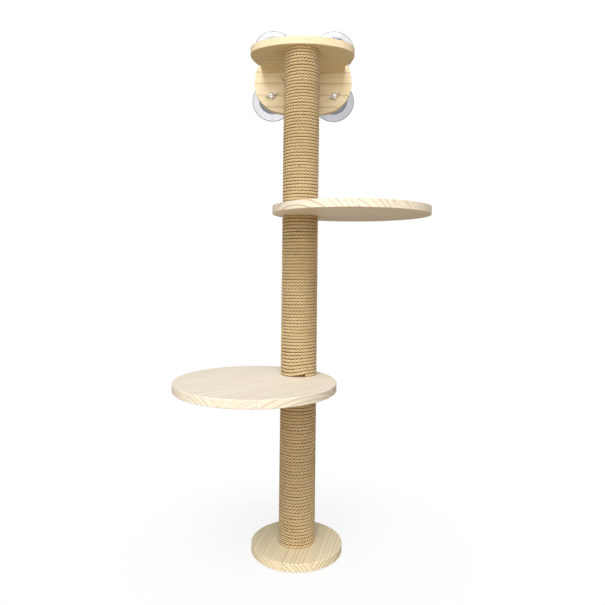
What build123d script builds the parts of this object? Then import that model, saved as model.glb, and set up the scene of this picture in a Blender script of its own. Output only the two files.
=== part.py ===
from build123d import *
import math
import os

# A cat climbing post that stands on the floor and is held to a window by four suction cups.
# Three rope-wound post sections carry two round shelves and a platform, and a board behind the
# platform carries the cups. Millimetres. The origin is on the floor under the post's axis, +Z is
# up and +Y points at the window.

# Pine panels, all cut from one edge-glued sheet
PANEL = 15.0
EDGE_BREAK = 0.8
FOOT_RADIUS = 88.0
SHELF_RADIUS = 150.0
SHELF_HOLE_OFFSET = 103.0
LOWER_SHELF_ANGLE = 220.5
UPPER_SHELF_ANGLE = -18.5

# Non-slip pad glued under the foot
PAD_RADIUS = 80.0
PAD = 2.0

# Post sections: a paper tube with a turned plug in each end, wound with rope
SECTION = 310.0
TUBE_RADIUS = 30.0
TUBE_WALL = 4.0
PLUG_LENGTH = 20.0
PLUG_GLUE_GAP = 0.05

# Rope: one layer of turns, drawn turn by turn at both ends of a section and as a plain layer between
ROPE = 5.5
ROPE_SIDES = 6
ROPE_TURN_GAP = 0.5
ROPE_SEAT_GAP = 0.1
ROPE_END_GAP = 0.3
TURNS_AT_EACH_END = 3
POINTS_PER_TURN = 180
LOWER_ROPE_START = -150.0
MIDDLE_ROPE_START = -67.0
UPPER_ROPE_START = 136.0

# M8 hardware through the middle of the post
BOLT_RADIUS = 4.0
BOLT_HOLE_GAP = 0.5
BOLT_BEYOND_INSERT = 2.5
INSERT_WALL = 2.0
INSERT_LENGTH = 15.0
THREAD_GAP = 0.05
BUTTON_HEAD_RADIUS = 7.0
BUTTON_HEAD = 4.4
HEX_SOCKET = 5.0
HEX_SOCKET_DEPTH = 2.5
FOOT_WASHER_RADIUS = 12.0
FOOT_WASHER = 2.0
FOOT_RECESS_GAP = 1.0
FOOT_RECESS_DEPTH = 7.0
FLAT_HEAD_RADIUS = 8.0

# Platform: a D with a tab that butts against the board
PLATFORM_HALF_WIDTH = 105.0
PLATFORM_WIDEST_Y = 26.0
PLATFORM_FRONT_DEPTH = 68.0
PLATFORM_FRONT_RADIUS = 150.0
TAB_SHOULDER = 15.0
NECK_FILLET = 4.0

# Board: the same outline standing on end
BOARD_FRONT_Y = 117.5
BOARD_OVER_PLATFORM_EACH_SIDE = 1.0
BOARD_WIDEST_BELOW_PLATFORM = 25.0
BOARD_DEPTH_BELOW_WIDEST = 68.0
BOARD_BOTTOM_RADIUS = 280.0
BOARD_ABOVE_PLATFORM = 58.0
BOARD_TOP_CORNER = 20.0

# Screws and dowels from the board into the platform's tab
SCREW_RADIUS = 2.25
SCREW_HEAD_RADIUS = 4.3
SCREW_HEAD = 2.6
SCREW_LENGTH = 50.0
SCREW_SPACING = 60.0
SCREW_COUNT = 3
DOWEL_RADIUS = 4.0
DOWEL_LENGTH = 30.0
DOWEL_IN_BOARD = 10.0
DOWEL_SPACING = 60.0
WOOD_FIT_GAP = 0.05

# Suction cups, each with its moulded-in M6 stud, washer and wing nut
CUP_SPACING_X = 136.0
LOWER_CUPS_BELOW_PLATFORM = 52.5
UPPER_CUPS_ABOVE_PLATFORM = 59.5
CUP_RADIUS = 46.0
CUP_HEIGHT = 21.0
CUP_LIP = 1.2
CUP_LIP_FACE = 2.5
CUP_DOME_RADIUS = 32.0
CUP_DOME_RISE = 8.5
CUP_RING_STEP = 2.5
CUP_BOSS_RADIUS = 12.0
CUP_BOSS = 5.0
CUP_WALL = 4.5
CUP_ROOF = 10.5
STUD_RADIUS = 3.0
STUD_BEYOND_NUT = 5.4
STUD_HEAD_RADIUS = 8.0
STUD_HEAD = 3.0
STUD_HOLE_GAP = 0.25
WASHER_RADIUS = 9.0
WASHER_BORE_GAP = 0.2
WASHER = 1.6
NUT_BORE_GAP = 0.05
NUT_BASE_RADIUS = 6.5
NUT_TOP_RADIUS = 5.0
NUT_BOSS = 8.0
WING_SPAN = 28.0
WING_HEIGHT = 14.0
WING_TIP_RADIUS = 4.5
WING_ROOT_RADIUS = 3.0
WING_THICKNESS = 2.4
WING_REST_ANGLE = 22.0

# Heights, built up from the floor
FOOT_Z = PAD
LOWER_SECTION_Z = FOOT_Z + PANEL
LOWER_SHELF_Z = LOWER_SECTION_Z + SECTION
MIDDLE_SECTION_Z = LOWER_SHELF_Z + PANEL
UPPER_SHELF_Z = MIDDLE_SECTION_Z + SECTION
UPPER_SECTION_Z = UPPER_SHELF_Z + PANEL
PLATFORM_Z = UPPER_SECTION_Z + SECTION
BOARD_WIDEST_Z = PLATFORM_Z - BOARD_WIDEST_BELOW_PLATFORM
BOARD_TOP_Z = PLATFORM_Z + PANEL + BOARD_ABOVE_PLATFORM
BOARD_BACK_Y = BOARD_FRONT_Y + PANEL
LOWER_CUPS_Z = PLATFORM_Z - LOWER_CUPS_BELOW_PLATFORM
UPPER_CUPS_Z = PLATFORM_Z + UPPER_CUPS_ABOVE_PLATFORM

TAB_HALF_WIDTH = PLATFORM_HALF_WIDTH - TAB_SHOULDER
BOARD_HALF_WIDTH = PLATFORM_HALF_WIDTH + BOARD_OVER_PLATFORM_EACH_SIDE
STUD_FREE_LENGTH = PANEL + WASHER + NUT_BOSS + STUD_BEYOND_NUT

BOLT_REACH = INSERT_LENGTH + BOLT_BEYOND_INSERT
BOLT_HOLE = BOLT_RADIUS + BOLT_HOLE_GAP
INSERT_BORE = BOLT_RADIUS + THREAD_GAP
INSERT_RADIUS = BOLT_RADIUS + INSERT_WALL
ROPE_LINE_RADIUS = TUBE_RADIUS + ROPE_SEAT_GAP + ROPE / 2
ROPE_OUTER_RADIUS = ROPE_LINE_RADIUS + ROPE / 2
ROPE_PITCH = ROPE + ROPE_TURN_GAP


def cylinder(radius, height, x=0.0, y=0.0, z=0.0):
    """A cylinder standing on z."""
    return Pos(x, y, z) * Cylinder(radius, height, align=(Align.CENTER, Align.CENTER, Align.MIN))


def ring(outer, inner, height, z=0.0):
    """A tube standing on z."""
    return cylinder(outer, height, z=z) - cylinder(inner, height, z=z)


def revolved(points):
    """A turned solid from (radius, height) points, about +Z."""
    return revolve(make_face(Polyline(*[(r, 0, h) for r, h in points], close=True)), Axis.Z)


def broken_edges(panel, kept_sharp=()):
    """The panel with the long edges of both faces eased, apart from those that are kept sharp."""
    rims = [e for e in panel.faces().sort_by(Axis.Z)[0].edges() if e not in kept_sharp]
    rims += [e for e in panel.faces().sort_by(Axis.Z)[-1].edges() if e not in kept_sharp]
    return chamfer(rims, EDGE_BREAK)


def round_panel(radius):
    """A round panel with eased edges, standing on z = 0."""
    disc = cylinder(radius, PANEL)
    return chamfer(disc.edges().filter_by(GeomType.CIRCLE), EDGE_BREAK)


def tabbed_outline(half_width, depth, front_radius, tab_reach, tab_corner=0.0):
    """The D outline with its tab, widest along y = 0, with its curved front at -depth."""
    corner = (2 * depth * front_radius - half_width**2 - depth**2) / (2 * (front_radius - half_width))
    front_centre = Vector(0, front_radius - depth)
    corner_centre = Vector(half_width - corner, 0)
    towards = (corner_centre - front_centre).normalized()
    blend = front_centre + towards * front_radius
    halfway = (towards + Vector(1, 0)).normalized()
    corner_middle = corner_centre + halfway * corner
    neck = Vector(TAB_HALF_WIDTH, math.sqrt(half_width**2 - TAB_HALF_WIDTH**2))
    rear_middle = (neck + Vector(half_width, 0)).normalized() * half_width
    tab_end = Vector(TAB_HALF_WIDTH, tab_reach)
    side = [
        ThreePointArc(blend, corner_middle, (half_width, 0)),
        ThreePointArc((half_width, 0), rear_middle, neck),
        Line(neck, tab_end),
    ]
    front = ThreePointArc((-blend.X, blend.Y), (0, -depth), blend)
    tab_edge = Line(tab_end, (-tab_end.X, tab_end.Y))
    outline = make_face(side + [front, tab_edge] + [mirror(edge, Plane.YZ) for edge in side])
    necks = [v for v in outline.vertices() if abs(v.Y - neck.Y) < NECK_FILLET / 2]
    outline = fillet(necks, NECK_FILLET)
    if tab_corner:
        outline = fillet(outline.vertices().group_by(Axis.Y)[-1], tab_corner)
    return outline


def foot_pad():
    return cylinder(PAD_RADIUS, PAD)


def foot_disc():
    disc = Pos(0, 0, FOOT_Z) * round_panel(FOOT_RADIUS)
    disc -= cylinder(BOLT_HOLE, PANEL, z=FOOT_Z)
    return disc - cylinder(FOOT_WASHER_RADIUS + FOOT_RECESS_GAP, FOOT_RECESS_DEPTH, z=FOOT_Z)


def foot_washer():
    z = FOOT_Z + FOOT_RECESS_DEPTH - FOOT_WASHER
    return ring(FOOT_WASHER_RADIUS, BOLT_HOLE, FOOT_WASHER, z)


def foot_bolt():
    seat = FOOT_Z + FOOT_RECESS_DEPTH - FOOT_WASHER
    head = cylinder(BUTTON_HEAD_RADIUS, BUTTON_HEAD, z=seat - BUTTON_HEAD)
    head = chamfer(head.edges().group_by(Axis.Z)[0], BUTTON_HEAD / 3)
    shank = cylinder(BOLT_RADIUS, LOWER_SECTION_Z + BOLT_REACH - seat, z=seat)
    socket = extrude(RegularPolygon(HEX_SOCKET / 2, 6, major_radius=False), HEX_SOCKET_DEPTH)
    return head + shank - Pos(0, 0, seat - BUTTON_HEAD) * socket


def core_tube(z):
    return ring(TUBE_RADIUS, TUBE_RADIUS - TUBE_WALL, SECTION, z)


def plug():
    """A plug lying with its outer end at z = 0 and its inner end above."""
    body = cylinder(TUBE_RADIUS - TUBE_WALL - PLUG_GLUE_GAP, PLUG_LENGTH)
    body -= cylinder(BOLT_HOLE, PLUG_LENGTH)
    return body - cylinder(INSERT_RADIUS + WOOD_FIT_GAP, INSERT_LENGTH)


def insert():
    """A threaded insert with its outer end at z = 0."""
    return ring(INSERT_RADIUS, INSERT_BORE, INSERT_LENGTH)


def at_section_bottom(piece, z):
    return Pos(0, 0, z) * piece


def at_section_top(piece, z):
    return Pos(0, 0, z + SECTION) * Rot(180, 0, 0) * piece


def joining_stud(shelf_z):
    return cylinder(BOLT_RADIUS, PANEL + 2 * BOLT_REACH, z=shelf_z - BOLT_REACH)


def helix_angle(turn, start_angle):
    return math.radians(start_angle) + 2 * math.pi * turn


def helix_point(turn, z, start_angle):
    """The rope's middle, a number of turns up from its low end at height z."""
    angle = helix_angle(turn, start_angle)
    x = ROPE_LINE_RADIUS * math.cos(angle)
    y = ROPE_LINE_RADIUS * math.sin(angle)
    return Vector(x, y, z + ROPE_PITCH * turn)


def helix_direction(turn, start_angle):
    angle = helix_angle(turn, start_angle)
    around = 2 * math.pi * ROPE_LINE_RADIUS
    return Vector(-around * math.sin(angle), around * math.cos(angle), ROPE_PITCH).normalized()


def biarc(start, start_way, end, end_way):
    """Two arcs from start to end that leave and arrive along the given ways and meet smoothly."""
    chord = end - start
    ways = start_way + end_way
    a = 2 * start_way.dot(end_way) - 2
    b = -2 * chord.dot(ways)
    c = chord.dot(chord)
    reach = (-b - math.sqrt(b * b - 4 * a * c)) / (2 * a)
    before = start + start_way * reach
    after = end - end_way * reach
    middle = (before + after) * 0.5
    return [
        TangentArc(start, middle, tangent=start_way),
        TangentArc(middle, end, tangent=(after - before).normalized()),
    ]


def rope_turns(z, start_angle, first_turn):
    """Real turns, from first_turn on, of a rope whose low end is at height z, both cut ends straight."""
    edges = []
    first = helix_point(first_turn, z, start_angle)
    first_way = helix_direction(first_turn, start_angle)
    edges.append(Line(first - first_way * ROPE, first))
    for half in range(2 * TURNS_AT_EACH_END):
        start = first_turn + half / 2
        end = start + 1 / 2
        start_way = helix_direction(start, start_angle)
        end_way = helix_direction(end, start_angle)
        start_point = helix_point(start, z, start_angle)
        end_point = helix_point(end, z, start_angle)
        edges += biarc(start_point, start_way, end_point, end_way)
    last_turn = first_turn + TURNS_AT_EACH_END
    last = helix_point(last_turn, z, start_angle)
    edges.append(Line(last, last + helix_direction(last_turn, start_angle) * ROPE))
    path = Wire(edges)
    first_angle = helix_angle(first_turn, start_angle)
    outward = Vector(math.cos(first_angle), math.sin(first_angle), 0)
    across = Plane(path @ 0, x_dir=outward, z_dir=first_way)
    return sweep(across * RegularPolygon(ROPE / 2, ROPE_SIDES), path), path


def least_gap(path, turns):
    """The least gap between the tube of a winding and itself, measured on points of its line."""
    count = int(turns * POINTS_PER_TURN)
    points = [path @ (i / count) for i in range(count + 1)]
    apart = POINTS_PER_TURN // 2
    gaps = [
        (points[j] - points[i]).length - ROPE
        for i in range(len(points))
        for j in range(i + apart, len(points))
    ]
    return min(gaps)


def rope(z, start_angle):
    """The winding of one section, with real turns of one helix at both of its ends."""
    rise = ROPE_PITCH * TURNS_AT_EACH_END
    low_end = z + ROPE_END_GAP + ROPE / 2
    turns = (SECTION - 2 * ROPE_END_GAP - ROPE) / ROPE_PITCH
    low, path = rope_turns(low_end, start_angle, 0)
    high, _ = rope_turns(low_end, start_angle, turns - TURNS_AT_EACH_END)
    layer_z = z + ROPE_END_GAP + rise + ROPE_PITCH
    layer_length = SECTION - 2 * (ROPE_END_GAP + rise + ROPE_PITCH)
    layer = ring(ROPE_OUTER_RADIUS, TUBE_RADIUS + ROPE_SEAT_GAP, layer_length, layer_z)
    print("rope least gap", round(least_gap(path, TURNS_AT_EACH_END), 3))
    return Compound([low.solid(), layer.solid(), high.solid()])


def shelf(z, angle):
    """A round shelf whose hole is off its centre and on the post's axis."""
    x = SHELF_HOLE_OFFSET * math.cos(math.radians(angle))
    y = SHELF_HOLE_OFFSET * math.sin(math.radians(angle))
    return Pos(x, y, z) * round_panel(SHELF_RADIUS) - cylinder(BOLT_HOLE, PANEL, z=z)


def flat_head_bolt():
    top = PLATFORM_Z + PANEL
    cone_depth = FLAT_HEAD_RADIUS - BOLT_RADIUS
    profile = [
        (0, PLATFORM_Z - BOLT_REACH),
        (BOLT_RADIUS, PLATFORM_Z - BOLT_REACH),
        (BOLT_RADIUS, top - cone_depth),
        (FLAT_HEAD_RADIUS, top),
        (0, top),
    ]
    socket = extrude(RegularPolygon(HEX_SOCKET / 2, 6, major_radius=False), -HEX_SOCKET_DEPTH)
    return revolved(profile) - Pos(0, 0, top) * socket


def screw():
    """A countersunk wood screw with its head's face at z = 0 and its point below."""
    point = SCREW_RADIUS * 2
    profile = [
        (0, 0),
        (SCREW_HEAD_RADIUS, 0),
        (SCREW_RADIUS, -SCREW_HEAD),
        (SCREW_RADIUS, -SCREW_LENGTH + point),
        (0, -SCREW_LENGTH),
    ]
    return revolved(profile)


def grown_screw():
    """The room that a screw needs: the same shape with a wood fit all round."""
    gap = WOOD_FIT_GAP
    profile = [
        (0, 0),
        (SCREW_HEAD_RADIUS + gap, 0),
        (SCREW_RADIUS + gap, -SCREW_HEAD - gap),
        (SCREW_RADIUS + gap, -SCREW_LENGTH - gap),
        (0, -SCREW_LENGTH - gap),
    ]
    return revolved(profile)


def at_screw_places(piece):
    """Copies of a screw-shaped piece, its head flush with the board's back, in a row."""
    first = -SCREW_SPACING * (SCREW_COUNT - 1) / 2
    z = PLATFORM_Z + PANEL / 2
    places = [Pos(first + i * SCREW_SPACING, BOARD_BACK_Y, z) for i in range(SCREW_COUNT)]
    return [place * Rot(-90, 0, 0) * piece for place in places]


def at_dowel_places(radius, length, y):
    z = PLATFORM_Z + PANEL / 2
    dowel = Rot(-90, 0, 0) * cylinder(radius, length)
    return [Pos(side * DOWEL_SPACING / 2, y, z) * dowel for side in (-1, 1)]


def platform():
    tab_reach = BOARD_FRONT_Y - PLATFORM_WIDEST_Y
    outline = tabbed_outline(PLATFORM_HALF_WIDTH, PLATFORM_FRONT_DEPTH, PLATFORM_FRONT_RADIUS, tab_reach)
    blank = extrude(outline, PANEL)
    butt = blank.faces().sort_by(Axis.Y)[-1]
    blank = broken_edges(blank, kept_sharp=butt.edges())
    panel = Pos(0, PLATFORM_WIDEST_Y, PLATFORM_Z) * blank
    panel -= cylinder(BOLT_HOLE, PANEL, z=PLATFORM_Z)
    top = PLATFORM_Z + PANEL
    gap = WOOD_FIT_GAP
    sink_bottom = top - (FLAT_HEAD_RADIUS - BOLT_RADIUS) - gap
    sink_rim = FLAT_HEAD_RADIUS + gap
    panel -= revolved([(0, sink_bottom), (BOLT_RADIUS, sink_bottom), (sink_rim, top), (0, top)])
    for hole in at_screw_places(grown_screw()):
        panel -= hole
    dowel_in_platform = DOWEL_LENGTH - DOWEL_IN_BOARD + WOOD_FIT_GAP
    for hole in at_dowel_places(DOWEL_RADIUS + gap, dowel_in_platform, BOARD_FRONT_Y - dowel_in_platform):
        panel -= hole
    return panel


def cup_places():
    """The four stud axes, as (name, x, z)."""
    half = CUP_SPACING_X / 2
    return [
        ("lower_left", -half, LOWER_CUPS_Z),
        ("lower_right", half, LOWER_CUPS_Z),
        ("upper_left", -half, UPPER_CUPS_Z),
        ("upper_right", half, UPPER_CUPS_Z),
    ]


def board():
    tab_reach = BOARD_TOP_Z - BOARD_WIDEST_Z
    outline = tabbed_outline(
        BOARD_HALF_WIDTH, BOARD_DEPTH_BELOW_WIDEST, BOARD_BOTTOM_RADIUS, tab_reach, BOARD_TOP_CORNER
    )
    blank = broken_edges(extrude(outline, PANEL))
    panel = Pos(0, BOARD_BACK_Y, BOARD_WIDEST_Z) * Rot(90, 0, 0) * blank
    stud_hole = Rot(-90, 0, 0) * cylinder(STUD_RADIUS + STUD_HOLE_GAP, PANEL)
    for _, x, z in cup_places():
        panel -= Pos(x, BOARD_FRONT_Y, z) * stud_hole
    for hole in at_screw_places(grown_screw()):
        panel -= hole
    for hole in at_dowel_places(DOWEL_RADIUS + WOOD_FIT_GAP, DOWEL_IN_BOARD + WOOD_FIT_GAP, BOARD_FRONT_Y):
        panel -= hole
    return panel


def stud():
    """A stud with its head in the cup and its free end below the board face at z = 0."""
    head = cylinder(STUD_HEAD_RADIUS, STUD_HEAD, z=CUP_BOSS)
    return head + cylinder(STUD_RADIUS, STUD_FREE_LENGTH + CUP_BOSS, z=-STUD_FREE_LENGTH)


def cup():
    """A cup on its side of the board face at z = 0, with its rim at z = CUP_HEIGHT."""
    dome = CUP_BOSS + CUP_DOME_RISE
    profile = [
        (0, 0),
        (CUP_BOSS_RADIUS, 0),
        (CUP_BOSS_RADIUS, CUP_BOSS),
        (CUP_DOME_RADIUS, dome),
        (CUP_DOME_RADIUS + CUP_RING_STEP, dome + CUP_RING_STEP),
        (CUP_RADIUS, CUP_HEIGHT - CUP_LIP),
        (CUP_RADIUS, CUP_HEIGHT),
        (CUP_RADIUS - CUP_LIP_FACE, CUP_HEIGHT),
        (CUP_DOME_RADIUS, dome + CUP_WALL),
        (CUP_BOSS_RADIUS, CUP_ROOF),
        (0, CUP_ROOF),
    ]
    return revolved(profile) - stud()


def washer():
    """A washer from z = 0 up."""
    return ring(WASHER_RADIUS, STUD_RADIUS + WASHER_BORE_GAP, WASHER)


def wing_nut():
    """A wing nut standing on z = 0 with its wings along X."""
    boss = revolved([(0, 0), (NUT_BASE_RADIUS, 0), (NUT_TOP_RADIUS, NUT_BOSS), (0, NUT_BOSS)])
    root = Pos(NUT_TOP_RADIUS, WING_ROOT_RADIUS) * Circle(WING_ROOT_RADIUS)
    tip = Pos(WING_SPAN / 2 - WING_TIP_RADIUS, WING_HEIGHT - WING_TIP_RADIUS) * Circle(WING_TIP_RADIUS)
    outline = make_hull(root.edges() + tip.edges())
    wing = extrude(Plane.XZ * outline, WING_THICKNESS / 2, both=True)
    nut = boss + wing + Rot(0, 0, 180) * wing
    return nut - cylinder(STUD_RADIUS + NUT_BORE_GAP, WING_HEIGHT)


def behind_board(piece, x, z):
    return Pos(x, BOARD_BACK_Y, z) * Rot(-90, 0, 0) * piece


def before_board(piece, x, z, off=0.0):
    return Pos(x, BOARD_FRONT_Y - off, z) * Rot(90, 0, 0) * piece


os.makedirs("parts", exist_ok=True)

pieces = {
    "foot_pad": foot_pad(),
    "foot_disc": foot_disc(),
    "foot_washer": foot_washer(),
    "foot_bolt": foot_bolt(),
    "lower_shelf": shelf(LOWER_SHELF_Z, LOWER_SHELF_ANGLE),
    "lower_joining_stud": joining_stud(LOWER_SHELF_Z),
    "upper_shelf": shelf(UPPER_SHELF_Z, UPPER_SHELF_ANGLE),
    "upper_joining_stud": joining_stud(UPPER_SHELF_Z),
    "top_platform": platform(),
    "platform_bolt": flat_head_bolt(),
    "back_board": board(),
    "platform_screws": Compound(at_screw_places(screw())),
    "platform_dowels": Compound(
        at_dowel_places(DOWEL_RADIUS, DOWEL_LENGTH, BOARD_FRONT_Y + DOWEL_IN_BOARD - DOWEL_LENGTH)
    ),
}

sections = [
    ("lower", LOWER_SECTION_Z, LOWER_ROPE_START),
    ("middle", MIDDLE_SECTION_Z, MIDDLE_ROPE_START),
    ("upper", UPPER_SECTION_Z, UPPER_ROPE_START),
]
inserts = []
for name, z, rope_start in sections:
    pieces[name + "_core_tube"] = core_tube(z)
    pieces[name + "_bottom_plug"] = at_section_bottom(plug(), z)
    pieces[name + "_top_plug"] = at_section_top(plug(), z)
    pieces[name + "_rope"] = rope(z, rope_start)
    inserts += [at_section_bottom(insert(), z), at_section_top(insert(), z)]
pieces["threaded_inserts"] = Compound(inserts)

for name, x, z in cup_places():
    pieces["suction_cup_" + name] = behind_board(cup(), x, z)
    pieces["cup_stud_" + name] = behind_board(stud(), x, z)
    pieces["washer_" + name] = before_board(washer(), x, z)
    pieces["wing_nut_" + name] = before_board(Rot(0, 0, WING_REST_ANGLE) * wing_nut(), x, z, WASHER)

for name, piece in pieces.items():
    export_step(piece, "parts/" + name + ".step")
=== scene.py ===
import math

import bpy
import numpy as np
from mathutils import Matrix, Vector


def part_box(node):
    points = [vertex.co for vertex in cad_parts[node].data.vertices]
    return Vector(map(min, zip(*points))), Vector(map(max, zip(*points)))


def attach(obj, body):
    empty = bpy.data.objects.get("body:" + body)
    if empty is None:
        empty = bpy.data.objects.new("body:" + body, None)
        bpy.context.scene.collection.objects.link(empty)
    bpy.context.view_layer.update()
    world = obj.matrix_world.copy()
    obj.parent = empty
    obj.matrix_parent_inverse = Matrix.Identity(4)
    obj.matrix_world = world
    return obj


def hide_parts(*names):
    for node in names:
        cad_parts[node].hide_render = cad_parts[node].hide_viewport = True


# A cat climbing post: jute-wound sections, pine shelves, and a board on four suction cups.
# Metres throughout, in the same frame as the construction model.

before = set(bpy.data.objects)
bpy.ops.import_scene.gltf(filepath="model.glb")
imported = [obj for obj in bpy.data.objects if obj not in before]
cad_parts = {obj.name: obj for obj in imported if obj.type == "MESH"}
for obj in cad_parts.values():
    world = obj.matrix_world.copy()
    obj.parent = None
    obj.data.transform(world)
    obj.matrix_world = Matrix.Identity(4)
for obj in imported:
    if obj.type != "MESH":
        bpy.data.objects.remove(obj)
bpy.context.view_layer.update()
scene = bpy.context.scene
scene.view_settings.view_transform = "Standard"


def srgb(red, green, blue):
    """A colour given as 0 to 255 values, as the renderer wants it."""

    def linear(value):
        value /= 255
        return value / 12.92 if value <= 0.04045 else ((value + 0.055) / 1.055) ** 2.4

    return (linear(red), linear(green), linear(blue), 1.0)


def add(tree, kind, inputs=None, **settings):
    """Adds a node, sets it up, and plugs in or sets its inputs."""
    node = tree.nodes.new(kind)
    for name, value in settings.items():
        setattr(node, name, value)
    for name, value in (inputs or {}).items():
        if isinstance(value, bpy.types.NodeSocket):
            tree.links.new(value, node.inputs[name])
        else:
            node.inputs[name].default_value = value
    return node


def maths(tree, operation, *values):
    node = add(tree, "ShaderNodeMath", dict(enumerate(values)), operation=operation)
    return node.outputs[0]


def plus(tree, first, second):
    return maths(tree, "ADD", first, second)


def minus(tree, first, second):
    return maths(tree, "SUBTRACT", first, second)


def times(tree, first, second):
    return maths(tree, "MULTIPLY", first, second)


def scaled(tree, vector, factors):
    """A vector multiplied by three factors."""
    node = add(tree, "ShaderNodeVectorMath", {0: vector, 1: factors}, operation="MULTIPLY")
    return node.outputs[0]


def noise(tree, vector, scale, detail=2.0, roughness=0.5):
    inputs = {"Vector": vector, "Scale": scale, "Detail": detail, "Roughness": roughness}
    return add(tree, "ShaderNodeTexNoise", inputs).outputs["Fac"]


def stretched_noise(tree, vector, factors, detail, roughness=0.5):
    """Noise with its own number of features to the metre along each axis."""
    return noise(tree, scaled(tree, vector, factors), 1.0, detail, roughness)


def between(tree, value, low, high, to_low=0.0, to_high=1.0):
    """A value stretched so that low to high becomes to_low to to_high, and held there."""
    spans = {"From Min": low, "From Max": high, "To Min": to_low, "To Max": to_high}
    return add(tree, "ShaderNodeMapRange", {"Value": value, **spans}).outputs["Result"]


def tinted(tree, amount, first, second):
    """Two colours mixed by an amount."""
    node = add(tree, "ShaderNodeMix", data_type="RGBA")
    for place, value in ((0, amount), (6, first), (7, second)):
        if isinstance(value, bpy.types.NodeSocket):
            tree.links.new(value, node.inputs[place])
        else:
            node.inputs[place].default_value = value
    return node.outputs[2]


def new_effect(name, inputs, outputs):
    """An empty shared effect with named inputs and outputs."""
    group = bpy.data.node_groups.new(name, "ShaderNodeTree")
    for label, kind, value in inputs:
        socket = group.interface.new_socket(label, in_out="INPUT", socket_type=kind)
        if value is not None:
            socket.default_value = value
    for label, kind in outputs:
        group.interface.new_socket(label, in_out="OUTPUT", socket_type=kind)
    given = group.nodes.new("NodeGroupInput").outputs
    made = group.nodes.new("NodeGroupOutput").inputs
    return group, given, made


def effect(tree, group, **inputs):
    """Places a shared effect in a material with its own values."""
    node = tree.nodes.new("ShaderNodeGroup")
    node.node_tree = group
    for name, value in inputs.items():
        socket = node.inputs[name.replace("_", " ").title()]
        if isinstance(value, bpy.types.NodeSocket):
            tree.links.new(value, socket)
        else:
            socket.default_value = value
    return node.outputs


def new_material(name, **constants):
    """A material with one shader, whose constants are set on the shader itself."""
    material = bpy.data.materials.new(name)
    material.use_nodes = True
    tree = material.node_tree
    shader = tree.nodes["Principled BSDF"]
    for label, value in constants.items():
        shader.inputs[label.replace("_", " ").title().replace("Ior", "IOR")].default_value = value
    return material, tree, shader


def bumped(tree, shader, height, distance, strength):
    """Gives a shader a relief of so many metres, shown by a share of its strength."""
    inputs = {"Height": height, "Distance": distance, "Strength": strength}
    node = add(tree, "ShaderNodeBump", inputs)
    tree.links.new(node.outputs["Normal"], shader.inputs["Normal"])


def own_place(tree):
    """The point on the piece, in metres."""
    return tree.nodes.new("ShaderNodeTexCoord").outputs["Object"]


def mark(tree, name):
    """A number that the mesh stores for each of its points."""
    return add(tree, "ShaderNodeAttribute", attribute_name=name).outputs["Fac"]


def own_chance(tree, board, luck, step):
    """A number from 0 to 1 that belongs to one board of one panel, another for each step."""
    turn = plus(tree, times(tree, board, 1.7), plus(tree, luck, step * 2.1))
    return maths(tree, "FRACT", times(tree, maths(tree, "SINE", turn), 93.7))


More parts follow.
